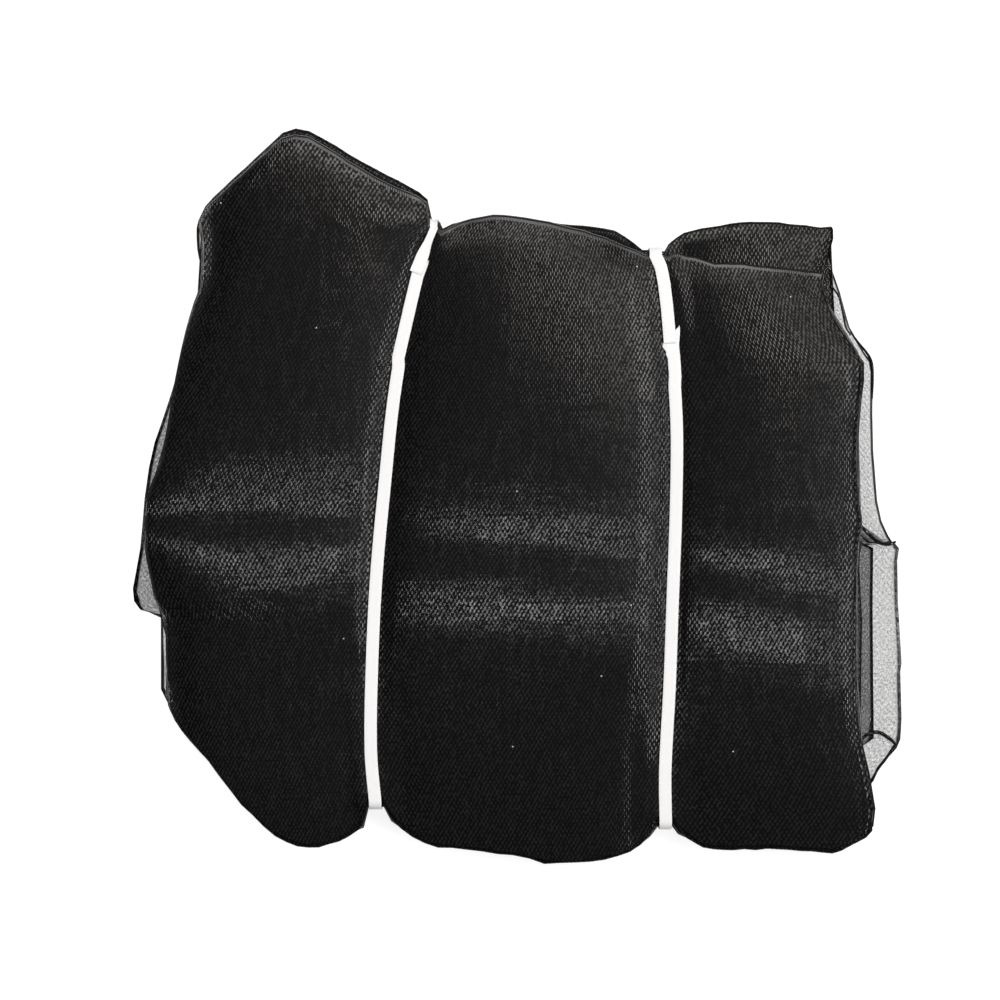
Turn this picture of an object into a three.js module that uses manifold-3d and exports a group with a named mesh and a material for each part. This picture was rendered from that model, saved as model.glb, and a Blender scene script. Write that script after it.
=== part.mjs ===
// Olive harvest net: a length of fine black mesh, folded back and forth into a flat bundle
// that two white straps draw in to make three lobes.
// Millimetres. X runs across the bundle, Y along its leaves, Z up from the surface it lies on.

import * as THREE from "three";
import { mergeVertices } from "three/addons/utils/BufferGeometryUtils.js";
import Module from "manifold-3d";

// The net
const leafCount = 10;
const leafThickness = 2; // the plies of one leaf, pressed together
const tiePitch = 2.6; // from leaf to leaf under a strap
const crownRise = 62; // distance from a strap over which a lobe swells to its crown
const edgeRise = 55; // distance from a side edge over which it does so
const edgeShare = 0.55; // share of the swelling that is left at a side edge
const endSag = 0.2; // share of the swelling that is lost at the fold ends
const foldSteps = 3; // facets round a fold

// The straps
const strapWidth = 10;
const strapThickness = 0.8;
const clearance = 0.3; // between pieces, and from a strap to the surface below
const valleyHalfWidth = 9; // flat floor of the valley that a strap draws into the net
const cornerRadius = 7; // bend of a strap at the top and bottom of the stack
const cornerDraw = 8; // how far a strap draws in the top and bottom folds
const drawShare = 0.25; // share of a lobe's width over which that fades
const cornerSteps = 6;
const runStep = 30; // longest straight step along a strap
const weldLength = 9;
const weldWidth = 7;

const strapLift = 2 * clearance + strapThickness;
const liftFade = 14; // distance beside a strap in which the net comes down to the surface

// Lines that run the length of the bundle, from its -Y end (share 0) to its +Y end (share 1):
// both side edges and the middle of each strap.
const lengthLines = [
  { share: 0.0, left: -284, tieLeft: -113, tieRight: 118.5, right: 268 },
  { share: 0.1, left: -285, tieLeft: -117, tieRight: 118, right: 272 },
  { share: 0.25, left: -289, tieLeft: -116, tieRight: 121.5, right: 274 },
  { share: 0.4, left: -288, tieLeft: -112.5, tieRight: 124, right: 274 },
  { share: 0.55, left: -281, tieLeft: -106, tieRight: 126.5, right: 274 },
  { share: 0.7, left: -272, tieLeft: -98.5, tieRight: 127, right: 272 },
  { share: 0.85, left: -256, tieLeft: -86.5, tieRight: 122, right: 261 },
  { share: 1.0, left: -250, tieLeft: -64.5, tieRight: 112, right: 251 },
];

// The three lobes: the lines between which each one lies, and its leaf to leaf height at
// the crown.
const lobes = [
  { from: "left", to: "tieLeft", fromInset: 0, toInset: valleyHalfWidth, crownPitch: 4.3 },
  {
    from: "tieLeft",
    to: "tieRight",
    fromInset: valleyHalfWidth,
    toInset: valleyHalfWidth,
    crownPitch: 4.6,
  },
  { from: "tieRight", to: "right", fromInset: valleyHalfWidth, toInset: 0, crownPitch: 4.2 },
];

// Columns of the net's grid: the lobe, the share of its width, and the Y of both ends there.
const columns = [
  { lobe: 0, across: 0.0, top: 232, bottom: -164 },
  { lobe: 0, across: 0.2, top: 268, bottom: -212 },
  { lobe: 0, across: 0.38, top: 292, bottom: -253 },
  { lobe: 0, across: 0.62, top: 277, bottom: -280 },
  { lobe: 0, across: 0.88, top: 249, bottom: -272 },
  { lobe: 0, across: 1.0, top: 220, bottom: -250 },
  { lobe: 1, across: 0.0, top: 220, bottom: -250 },
  { lobe: 1, across: 0.1, top: 221, bottom: -274 },
  { lobe: 1, across: 0.3, top: 223, bottom: -284 },
  { lobe: 1, across: 0.55, top: 218, bottom: -290 },
  { lobe: 1, across: 0.8, top: 212, bottom: -291 },
  { lobe: 1, across: 0.93, top: 203, bottom: -283 },
  { lobe: 1, across: 1.0, top: 198, bottom: -266 },
  { lobe: 2, across: 0.0, top: 198, bottom: -266 },
  { lobe: 2, across: 0.12, top: 207, bottom: -278 },
  { lobe: 2, across: 0.4, top: 214, bottom: -280 },
  { lobe: 2, across: 0.72, top: 213, bottom: -282 },
  { lobe: 2, across: 1.0, top: 211, bottom: -274 },
];

// Rows of a leaf, as shares of its length, closest where a flap has a corner.
const rowShares = [0, 0.1, 0.165, 0.2, 0.36, 0.5, 0.535, 0.7, 0.86, 1];

// How far each end of a leaf stops short of the outline, lobe by lobe. The first row is the
// bottom leaf's free end, the last is the top leaf's, and the others are the folds between.
const endSetbacks = [
  { left: 12, middle: 10, right: 8 },
  { left: 14, middle: 10, right: 12 },
  { left: 7, middle: 8, right: 6 },
  { left: 8, middle: 6, right: 4 },
  { left: 3, middle: 4, right: 5 },
  { left: 5, middle: 8, right: 9 },
  { left: 6, middle: 3, right: 3 },
  { left: 0, middle: 0, right: 0 },
  { left: 0, middle: 0, right: 0 },
  { left: 7, middle: 4, right: 31 },
  { left: 2, middle: 1, right: 2 },
];

// Loose flaps, where one leaf's side reaches past the others. Each rises from nothing at
// share `from` and is gone again at share `to`.
const flaps = [
  { leaf: 0, side: "right", from: 0.09, rise: 0.075, to: 0.535, fall: 0.035, reach: 32 },
  { leaf: 1, side: "left", from: 0.165, rise: 0.035, to: 0.66, fall: 0.4, reach: 18 },
  { leaf: 3, side: "right", from: -0.1, rise: 0.15, to: 0.5, fall: 0.1, reach: 12 },
  { leaf: 4, side: "left", from: 0.36, rise: 0.14, to: 0.86, fall: 0.16, reach: 6 },
  { leaf: 6, side: "right", from: 0.45, rise: 0.1, to: 0.95, fall: 0.2, reach: 12 },
];

const ties = [
  { name: "tie_left", line: "tieLeft", top: 220, bottom: -250, under: 206, over: 184, splay: 0 },
  { name: "tie_right", line: "tieRight", top: 198, bottom: -266, under: 148, over: 122, splay: 3.5 },
];

const meshMaterial = new THREE.MeshStandardMaterial({
  color: 0x1d1c1c,
  roughness: 0.5,
  metalness: 0,
});
const strapMaterial = new THREE.MeshStandardMaterial({
  color: 0xf4f4f2,
  roughness: 0.4,
  metalness: 0,
});

// 0 at or below zero, 1 at or above one, and a straight line between.
const unit = (value) => THREE.MathUtils.clamp(value, 0, 1);

// A pillow's rise: steep at first, level at one.
const swell = (value) => 1 - (1 - unit(value)) ** 2;

// A smooth line through the table's values in one column, read at a share of the length.
function lengthLine(key, share) {
  const last = lengthLines.length - 1;
  let row = 0;
  while (row < last - 1 && lengthLines[row + 1].share < share) row += 1;
  const at = (index) => lengthLines[THREE.MathUtils.clamp(index, 0, last)];
  const slope = (index) =>
    (at(index + 1)[key] - at(index - 1)[key]) / (at(index + 1).share - at(index - 1).share);
  const width = at(row + 1).share - at(row).share;
  const t = unit((share - at(row).share) / width);
  const ease = t * t * (3 - 2 * t);
  const bendStart = t * (1 - t) ** 2 * slope(row) * width;
  const bendEnd = t * t * (t - 1) * slope(row + 1) * width;
  return at(row)[key] * (1 - ease) + at(row + 1)[key] * ease + bendStart + bendEnd;
}

function tieX(tie, y) {
  return lengthLine(tie.line, unit((y - tie.bottom) / (tie.top - tie.bottom)));
}

// One side of a lobe: a strap's middle line at this Y, or a side edge at this share.
function lobeSideX(key, y, share) {
  const tie = ties.find((candidate) => candidate.line === key);
  return tie ? tieX(tie, y) : lengthLine(key, share);
}

// Distance from the nearest strap's valley floor.
function fromValley(x, y) {
  const gaps = ties.map((tie) => Math.abs(x - tieX(tie, y)) - valleyHalfWidth);
  return Math.max(0, Math.min(...gaps));
}

// Height from leaf to leaf. `inside` is the distance in from the nearer side edge, and
// `share` is the share of the leaf's length.
function pitchAt(lobe, x, y, inside, share) {
  const fromTie = swell(fromValley(x, y) / crownRise);
  const fromSide = edgeShare + (1 - edgeShare) * swell(inside / edgeRise);
  const fromEnd = 1 - endSag * Math.abs(2 * share - 1) ** 3;
  return tiePitch + (lobe.crownPitch - tiePitch) * fromTie * fromSide * fromEnd;
}

// 0 in a strap's valley and 1 where its pull on the fold ends has faded.
function clearOfTie(column) {
  const lobe = lobes[column.lobe];
  const fromStart = lobe.fromInset > 0 ? column.across : 1;
  const fromFinish = lobe.toInset > 0 ? 1 - column.across : 1;
  return unit(Math.min(fromStart, fromFinish) / drawShare);
}

// How far one end of a leaf stops short of the outline. Where a strap pulls round the
// stack's corner, the top and bottom ends are drawn in instead.
function setbackAt(end, column) {
  const name = ["left", "middle", "right"][column.lobe];
  const fromMiddle = Math.abs((2 * end) / leafCount - 1);
  const clear = clearOfTie(column);
  return endSetbacks[end][name] * swell(clear) + cornerDraw * fromMiddle ** 2 * (1 - clear);
}

function flapReach(leaf, side, share) {
  return flaps
    .filter((flap) => flap.leaf === leaf && flap.side === side)
    .reduce((sum, flap) => {
      const rising = unit((share - flap.from) / flap.rise);
      const falling = unit((flap.to - share) / flap.fall);
      return sum + flap.reach * Math.min(rising, falling);
    }, 0);
}

// The middle surface of one leaf at a column and a share of its length.
function leafPoint(leaf, column, share) {
  const lobe = lobes[column.lobe];
  const endStart = leaf % 2 === 0 ? leaf : leaf + 1;
  const endFinish = leaf % 2 === 0 ? leaf + 1 : leaf;
  const outerRadius = (tiePitch + leafThickness) / 2;
  const bottom = column.bottom + outerRadius + setbackAt(endStart, column);
  const top = column.top - outerRadius - setbackAt(endFinish, column);
  const y = THREE.MathUtils.lerp(bottom, top, share);

  const leftReach = lobe.from === "left" ? flapReach(leaf, "left", share) : 0;
  const rightReach = lobe.to === "right" ? flapReach(leaf, "right", share) : 0;
  const leftX = lobeSideX(lobe.from, y, share) + lobe.fromInset;
  const rightX = lobeSideX(lobe.to, y, share) - lobe.toInset;
  const x = THREE.MathUtils.lerp(leftX - leftReach, rightX + rightReach, column.across);

  const fromLeftEdge = lobe.from === "left" ? x - leftX : edgeRise;
  const fromRightEdge = lobe.to === "right" ? rightX - x : edgeRise;
  const inside = Math.max(0, Math.min(fromLeftEdge, fromRightEdge));
  const pitch = pitchAt(lobe, x, y, inside, share);
  const fade = unit(fromValley(x, y) / liftFade);
  const z = strapLift * (1 - fade) + leafThickness / 2 + leaf * pitch;
  return { x, y, z };
}

// One column's path through the whole stack, bottom leaf first: points with the direction
// across the cloth's thickness.
function columnPath(column) {
  const path = [];
  for (let leaf = 0; leaf < leafCount; leaf += 1) {
    const forward = leaf % 2 === 0;
    const shares = forward ? rowShares : [...rowShares].reverse();
    for (const share of shares) {
      const point = leafPoint(leaf, column, share);
      path.push({ ...point, acrossY: 0, acrossZ: forward ? 1 : -1 });
    }
    if (leaf === leafCount - 1) break;
    const endShare = forward ? 1 : 0;
    const low = leafPoint(leaf, column, endShare);
    const high = leafPoint(leaf + 1, column, endShare);
    const radius = (high.z - low.z) / 2;
    const outward = forward ? 1 : -1;
    for (let step = 1; step < foldSteps; step += 1) {
      const angle = (step / foldSteps) * Math.PI;
      path.push({
        x: THREE.MathUtils.lerp(low.x, high.x, step / foldSteps),
        y: low.y + outward * radius * Math.sin(angle),
        z: low.z + radius * (1 - Math.cos(angle)),
        acrossY: -Math.sin(angle),
        acrossZ: outward * Math.cos(angle),
      });
    }
  }
  return path;
}

// A closed sheet over a grid: `paths` holds the columns, each a path of points.
function sheetGeometry(paths, thickness) {
  const rows = paths[0].length;
  const positions = [];
  for (const side of [-1, 1]) {
    for (const path of paths) {
      for (const point of path) {
        const offset = (side * thickness) / 2;
        positions.push(point.x, point.y + point.acrossY * offset, point.z + point.acrossZ * offset);
      }
    }
  }
  const sideSize = paths.length * rows;
  const vertex = (side, column, row) => side * sideSize + column * rows + row;
  const triangles = [];
  const quad = (a, b, c, d) => triangles.push(a, b, c, a, c, d);
  for (let column = 0; column < paths.length - 1; column += 1) {
    for (let row = 0; row < rows - 1; row += 1) {
      quad(
        vertex(1, column, row),
        vertex(1, column + 1, row),
        vertex(1, column + 1, row + 1),
        vertex(1, column, row + 1),
      );
      quad(
        vertex(0, column, row),
        vertex(0, column, row + 1),
        vertex(0, column + 1, row + 1),
        vertex(0, column + 1, row),
      );
    }
  }
  const lastColumn = paths.length - 1;
  const lastRow = rows - 1;
  for (let row = 0; row < lastRow; row += 1) {
    quad(vertex(0, 0, row), vertex(1, 0, row), vertex(1, 0, row + 1), vertex(0, 0, row + 1));
    quad(
      vertex(0, lastColumn, row),
      vertex(0, lastColumn, row + 1),
      vertex(1, lastColumn, row + 1),
      vertex(1, lastColumn, row),
    );
  }
  for (let column = 0; column < lastColumn; column += 1) {
    quad(
      vertex(0, column, 0),
      vertex(0, column + 1, 0),
      vertex(1, column + 1, 0),
      vertex(1, column, 0),
    );
    quad(
      vertex(0, column, lastRow),
      vertex(1, column, lastRow),
      vertex(1, column + 1, lastRow),
      vertex(0, column + 1, lastRow),
    );
  }
  return indexedGeometry(positions, triangles);
}

function indexedGeometry(positions, triangles) {
  const geometry = new THREE.BufferGeometry();
  geometry.setAttribute("position", new THREE.Float32BufferAttribute(positions, 3));
  geometry.setIndex(triangles);
  return geometry;
}

// The route of one strap: from its under end, along the top to the -Y end, beneath the net
// and over the +Y end to its upper end, which laps the first.
function strapRoute(tie) {
  const stackTop = strapLift + (leafCount - 1) * tiePitch + leafThickness;
  const low = clearance + strapThickness / 2;
  const high = stackTop + clearance + strapThickness / 2;
  const lapHigh = high + strapThickness + clearance;
  const far = clearance + strapThickness / 2;
  const nearEnd = tie.bottom - far;
  const farEnd = tie.top + far;
  const route = [];
  const add = (y, z, outY, outZ, shift = 0) => {
    const runY = THREE.MathUtils.clamp(y, nearEnd + cornerRadius, farEnd - cornerRadius);
    route.push({ x: tieX(tie, runY) + shift, y, z, outY, outZ });
  };
  const run = (fromY, toY, z, outZ, splayAt = () => 0) => {
    const steps = Math.ceil(Math.abs(toY - fromY) / runStep);
    for (let step = 0; step <= steps; step += 1) {
      const y = THREE.MathUtils.lerp(fromY, toY, step / steps);
      add(y, z, 0, outZ, splayAt(y));
    }
  };
  const bend = (centreY, centreZ, startAngle) => {
    for (let step = 1; step < cornerSteps; step += 1) {
      const angle = startAngle + (step / cornerSteps) * (Math.PI / 2);
      const outY = Math.cos(angle);
      const outZ = Math.sin(angle);
      add(centreY + cornerRadius * outY, centreZ + cornerRadius * outZ, outY, outZ);
    }
  };
  const splayLength = 2 * (tie.under - tie.over);
  const splay = (y) => tie.splay * unit((y - tie.under + splayLength) / splayLength);
  run(tie.under, nearEnd + cornerRadius, high, 1, splay);
  bend(nearEnd + cornerRadius, high - cornerRadius, Math.PI / 2);
  add(nearEnd, high - cornerRadius, -1, 0);
  add(nearEnd, low + cornerRadius, -1, 0);
  bend(nearEnd + cornerRadius, low + cornerRadius, Math.PI);
  run(nearEnd + cornerRadius, farEnd - cornerRadius, low, -1);
  bend(farEnd - cornerRadius, low + cornerRadius, -Math.PI / 2);
  add(farEnd, low + cornerRadius, 1, 0);
  add(farEnd, lapHigh - cornerRadius, 1, 0);
  bend(farEnd - cornerRadius, lapHigh - cornerRadius, 0);
  run(farEnd - cornerRadius, tie.over, lapHigh, 1);
  return { route, high, lapHigh };
}

// A flat ribbon along a route, closed at both ends.
function ribbonGeometry(route, width, thickness) {
  const positions = [];
  const points = route.map((station) => new THREE.Vector3(station.x, station.y, station.z));
  route.forEach((station, index) => {
    const before = points[Math.max(0, index - 1)];
    const after = points[Math.min(points.length - 1, index + 1)];
    const along = after.clone().sub(before).normalize();
    const out = new THREE.Vector3(0, station.outY, station.outZ);
    const across = along.clone().cross(out).normalize();
    for (const [side, face] of [[-1, -1], [1, -1], [1, 1], [-1, 1]]) {
      const corner = points[index].clone();
      corner.addScaledVector(across, (side * width) / 2);
      corner.addScaledVector(out, (face * thickness) / 2);
      positions.push(...corner.toArray());
    }
  });
  const triangles = [];
  for (let index = 0; index < route.length - 1; index += 1) {
    for (let corner = 0; corner < 4; corner += 1) {
      const a = index * 4 + corner;
      const b = index * 4 + ((corner + 1) % 4);
      triangles.push(a, b + 4, b, a, a + 4, b + 4);
    }
  }
  const last = (route.length - 1) * 4;
  triangles.push(0, 1, 2, 0, 2, 3);
  triangles.push(last, last + 2, last + 1, last, last + 3, last + 2);
  return indexedGeometry(positions, triangles);
}

const wasm = await Module();
wasm.setup();

function solidOf(geometry) {
  const bare = geometry.clone();
  bare.deleteAttribute("normal");
  bare.deleteAttribute("uv");
  const merged = mergeVertices(bare);
  return new wasm.Manifold(new wasm.Mesh({
    numProp: 3,
    vertProperties: new Float32Array(merged.attributes.position.array),
    triVerts: new Uint32Array(merged.index.array),
  }));
}

function geometryOf(solid) {
  const mesh = solid.getMesh();
  return indexedGeometry(Array.from(mesh.vertProperties), Array.from(mesh.triVerts));
}

// A strap with its lapped ends welded by a small pad between them.
function makeTie(tie) {
  const { route, high, lapHigh } = strapRoute(tie);
  const ribbon = ribbonGeometry(route, strapWidth, strapThickness);
  const weldY = (tie.under + tie.over) / 2;
  const weld = new THREE.BoxGeometry(weldWidth, weldLength, lapHigh - high);
  weld.translate(tieX(tie, weldY) + tie.splay / 2, weldY, (high + lapHigh) / 2);
  const strap = new THREE.Mesh(geometryOf(solidOf(ribbon).add(solidOf(weld))), strapMaterial);
  strap.name = tie.name;
  return strap;
}

function makeNet() {
  const net = new THREE.Mesh(sheetGeometry(columns.map(columnPath), leafThickness), meshMaterial);
  net.name = "net";
  return net;
}

const bundle = new THREE.Group();
bundle.add(makeNet(), ...ties.map(makeTie));
const box = new THREE.Box3().setFromObject(bundle);
const middle = box.getCenter(new THREE.Vector3());
bundle.position.set(-middle.x, -middle.y, -box.min.z);

export default bundle;
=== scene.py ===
import math
from functools import partial

import bpy
import numpy as np
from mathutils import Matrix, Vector


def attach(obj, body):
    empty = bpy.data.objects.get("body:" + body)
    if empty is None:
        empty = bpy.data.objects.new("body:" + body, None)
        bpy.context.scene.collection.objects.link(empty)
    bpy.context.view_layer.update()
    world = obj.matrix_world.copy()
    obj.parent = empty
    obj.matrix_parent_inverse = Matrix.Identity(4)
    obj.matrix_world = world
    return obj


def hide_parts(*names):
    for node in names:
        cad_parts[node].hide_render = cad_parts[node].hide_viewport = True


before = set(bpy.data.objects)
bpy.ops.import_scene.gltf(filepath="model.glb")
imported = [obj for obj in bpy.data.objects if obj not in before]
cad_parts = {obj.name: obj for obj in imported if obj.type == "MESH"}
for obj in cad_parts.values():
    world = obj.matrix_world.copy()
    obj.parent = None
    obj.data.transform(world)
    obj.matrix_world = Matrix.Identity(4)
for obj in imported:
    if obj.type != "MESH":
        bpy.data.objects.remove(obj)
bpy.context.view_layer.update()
mm = 0.001

print("frame loaded")


def linearColour(hexText):
    # sRGB hex to linear RGBA
    values = [int(hexText[i:i + 2], 16) / 255 for i in (1, 3, 5)]
    linear = [v / 12.92 if v <= 0.04045 else ((v + 0.055) / 1.055) ** 2.4 for v in values]
    return (*linear, 1.0)


def addNode(tree, kind, inputs=None, **settings):
    # one node with its settings; an input is a value, or a node or socket to link from
    made = tree.nodes.new("ShaderNode" + kind)
    for name, value in settings.items():
        setattr(made, name, value)
    for socket, value in (inputs or {}).items():
        if isinstance(value, bpy.types.Node):
            value = value.outputs[0]
        if isinstance(value, bpy.types.NodeSocket):
            tree.links.new(value, made.inputs[socket])
        else:
            made.inputs[socket].default_value = value
    return made


def startNodes(owner):
    # empty a material's or a world's tree, and give back addNode for it
    owner.use_nodes = True
    owner.node_tree.nodes.clear()
    return partial(addNode, owner.node_tree)


def unit(value):
    return np.clip(value, 0.0, 1.0)


def ease(value):
    # 0 to 1 with level ends: 3 t^2 - 2 t^3
    t = unit(value)
    return t * t * (3 - 2 * t)


def swell(value, power=1.0):
    # a pillow's rise, steep at first and level at one: a power of 1 - (1 - t)^2
    return (1 - (1 - unit(value)) ** 2) ** power


def smoothLine(stations, values, at):
    # cubic through the values, each slope taken from the two neighbours
    stations = np.asarray(stations, float)
    values = np.asarray(values, float)
    wideStations = np.pad(stations, 1, mode="edge")
    wideValues = np.pad(values, 1, mode="edge")
    slopes = (wideValues[2:] - wideValues[:-2]) / (wideStations[2:] - wideStations[:-2])
    row = np.clip(np.searchsorted(stations, at, side="right") - 1, 0, len(stations) - 2)
    width = stations[row + 1] - stations[row]
    t = unit((at - stations[row]) / width)
    blend = t * t * (3 - 2 * t)
    bendStart = t * (1 - t) ** 2 * slopes[row] * width
    bendEnd = t * t * (t - 1) * slopes[row + 1] * width
    return values[row] * (1 - blend) + values[row + 1] * blend + bendStart + bendEnd


def clustered(count, power=1.2):
    # shares from 0 to 1, closer together towards both ends: t^p / (t^p + (1 - t)^p)
    t = np.linspace(0, 1, count)
    return t ** power / (t ** power + (1 - t) ** power)


def makePiece(name, points, faces, material, cornerUv=None, values=None):
    # a smooth mesh from points (n, 3) in metres and quads (m, 4)
    mesh = bpy.data.meshes.new(name)
    mesh.vertices.add(len(points))
    mesh.vertices.foreach_set("co", np.ascontiguousarray(points, np.float32).ravel())
    mesh.loops.add(faces.size)
    mesh.loops.foreach_set("vertex_index", faces.astype(np.int32).ravel())
    mesh.polygons.add(len(faces))
    mesh.polygons.foreach_set("loop_start", np.arange(0, faces.size, 4, dtype=np.int32))
    mesh.polygons.foreach_set("use_smooth", np.ones(len(faces), bool))
    if cornerUv is not None:
        layer = mesh.uv_layers.new(name="flat")
        layer.data.foreach_set("uv", np.ascontiguousarray(cornerUv, np.float32).ravel())
    for label, data in (values or {}).items():
        attribute = mesh.attributes.new(label, "FLOAT", "POINT")
        attribute.data.foreach_set("value", np.ascontiguousarray(data, np.float32).ravel())
    mesh.materials.append(material)
    mesh.update()
    mesh.validate()
    piece = bpy.data.objects.new(name, mesh)
    bpy.context.scene.collection.objects.link(piece)
    return piece


# the bundle's plan is in millimetres, before planOffset centres it: first the dense stack's
# side edges, as x at each y
sideLines = {
    "left": {
        "y": [-169, -156, -124, -97, -87, -68, -46, -28, -4, 11, 26, 40, 56, 79, 110, 136, 156,
              168, 188, 204, 222],
        "x": [-279, -281, -281, -282, -288, -292, -296, -297, -295.5, -291, -284.5, -282, -279,
              -275.5, -270, -264, -258, -253.5, -252.5, -252.5, -256],
    },
    "right": {
        "y": [-268, -254, -236, -216, -192, -164, -84, -40, -20, -4, 20, 52, 80, 96, 108, 120, 138,
              164, 186, 206],
        "x": [283, 286, 283.5, 280, 274, 271.5, 271, 272, 275, 272.5, 271.5, 272.5, 275, 277, 276,
              268, 255.5, 244.5, 247.5, 252.5],
    },
}

# how far the lobes reach at both ends, as x and y along each end
outlines = {
    "leftTop": {
        "x": [-256, -252, -239.5, -226, -213, -199.5, -189, -183, -176, -169, -160, -146.5, -128, -105,
              -90, -80, -72, -66, -62.5],
        "y": [222, 232, 245, 257, 269, 281, 291, 293.5, 294.5, 293.5, 289, 281, 270, 257.5, 250.5,
              245.5, 239, 231, 221],
    },
    "leftBottom": {
        "x": [-280, -276, -263, -248, -225, -207, -186, -170, -144, -129, -122, -118.5],
        "y": [-169, -180, -198, -212.5, -243, -261.5, -277, -282, -278, -271, -265, -252],
    },
    "middleTop": {
        "x": [-61, -52, -38, -14, 18, 34, 58, 70, 82, 94, 102, 108],
        "y": [212, 218.5, 222, 224.5, 220.5, 217.5, 216, 214.5, 211.5, 204, 195, 187],
    },
    "middleBottom": {
        "x": [-107, -98, -86, -74, -50, -26, -2, 22, 58, 82, 94, 104, 113],
        "y": [-254, -265, -273, -278, -282, -284, -287, -293, -292, -288, -284, -277, -264],
    },
    "rightTop": {
        "x": [116, 124, 130, 142, 154, 178, 202, 226, 250],
        "y": [197, 205.5, 209.5, 213.5, 215.5, 219, 219.5, 217.5, 215.5],
    },
    "rightBottom": {
        "x": [124, 130, 142, 154, 194, 226, 254, 263, 276, 283],
        "y": [-266, -273, -278.5, -283, -282, -283, -285, -281, -275, -268],
    },
}

# how far each end of a leaf stops short of that, from the bottom leaf's free end, through
# the folds, to the top leaf's free end
endSetbacks = {
    "lobeShare": [0.0, 0.85, 1.1, 1.55, 1.85, 2.1, 2.3, 2.6, 3.0],
    "rows": [
        [12, 9, 9, 8, 8, 8, 8, 7, 7],
        [15, 12, 10, 9, 9, 12, 12, 12, 12],
        [8, 6, 8, 7, 7, 6, 6, 6, 6],
        [9, 7, 6, 5, 5, 4, 4, 5, 5],
        [3, 4, 4, 5, 5, 5, 5, 5, 5],
        [8, 8, 9, 8, 8, 9, 9, 8, 8],
        [6, 5, 3, 3, 3, 3, 3, 3, 2],
        [0, 0, 0, 0, 0, 0, 0, 0, 0],
        [0, 0, 0, 0, 0, 0, 0, 0, 0],
        [3.5, 7, 0, 0.5, 9, 14, 29, 36, 36],
        [2, 2, 1, 1, 1, 2, 2, 2, 2],
    ],
}

# loose sides of one or two plies past the dense edge: which plies of which leaf, and the outer
# edge as x at each y
flaps = [
    {
        "leaf": 6, "side": "right", "plies": [4],
        "y": [-39, -38, -32, -20, -4, 20, 36, 66, 100, 108, 116, 136, 164, 183],
        "x": [276, 304, 300, 293.5, 290, 288, 286.5, 285.5, 285.5, 284, 278, 267, 260, 252],
    },
    {
        "leaf": 0, "side": "right", "plies": [4],
        "y": [-234, -224, -214, -204, -197, -190, -180, -142, -135, -84, -52, -42, -38, -37],
        "x": [286, 291, 298, 307, 310, 310.5, 311, 310, 311, 308, 307.5, 309, 305.5, 276],
    },
    {
        "leaf": 1, "side": "right", "plies": [0, 1],
        "y": [-204, -196, -150, -90, -42, -36],
        "x": [276, 288.5, 288, 287.5, 288, 276],
    },
    {
        "leaf": 3, "side": "right", "plies": [2, 3],
        "y": [-240, -180, -100, -60, 10, 60],
        "x": [280, 277, 278.5, 276, 276, 274],
    },
    {
        "leaf": 1, "side": "left", "plies": [1, 2],
        "y": [-96, -94, -92, -85, -75, -59, -42, -26, -2, 23, 43, 63, 86, 110],
        "x": [-287, -298, -305, -310, -311, -308, -305, -303.5, -301.5, -298, -293.5, -286.5, -279, -272],
    },
    {
        "leaf": 3, "side": "left", "plies": [0],
        "y": [-166, -156, -94],
        "x": [-282, -287.5, -287.5],
    },
    {
        "leaf": 7, "side": "left", "plies": [0],
        "y": [184, 190, 198, 206, 214, 224],
        "x": [-253, -255, -256.5, -257, -257, -256],
    },
]

# edges that have curled into a thin dark roll, as points along each roll
curls = [
    {"x": [273, 281, 291, 300, 306], "y": [-21, -29.5, -37, -39, -37],
     "z": [20, 16.5, 10, 4.5, 2.6], "radius": 1.6},
    {"x": [276, 283, 292, 301.5, 306], "y": [-199, -192.5, -191, -196.5, -201],
     "z": [4.5, 5, 4, 2.6, 2], "radius": 1.6},
    {"x": [306, 298.5, 291.5, 287], "y": [-200, -212, -221, -231], "z": [2.2, 2.2, 2.4, 3],
     "radius": 1.2},
    {"x": [267, 273.5, 280.5, 284.3, 285.3, 285], "y": [132, 123, 114.5, 107, 95, 78],
     "z": [18, 18, 18, 17.5, 17, 16], "radius": 1.1},
    {"x": [251, 257.8, 261, 263.4, 267.4], "y": [170, 160, 148, 136, 128.8],
     "z": [18, 18, 18, 18, 18], "radius": 0.9},
]

mirrorSlope = [0.0473, 0.000434]  # slope at y = 0 that mirrors the overhead lamp, and its growth
reliefMargin, reliefSteps = 40, 1200

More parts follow.
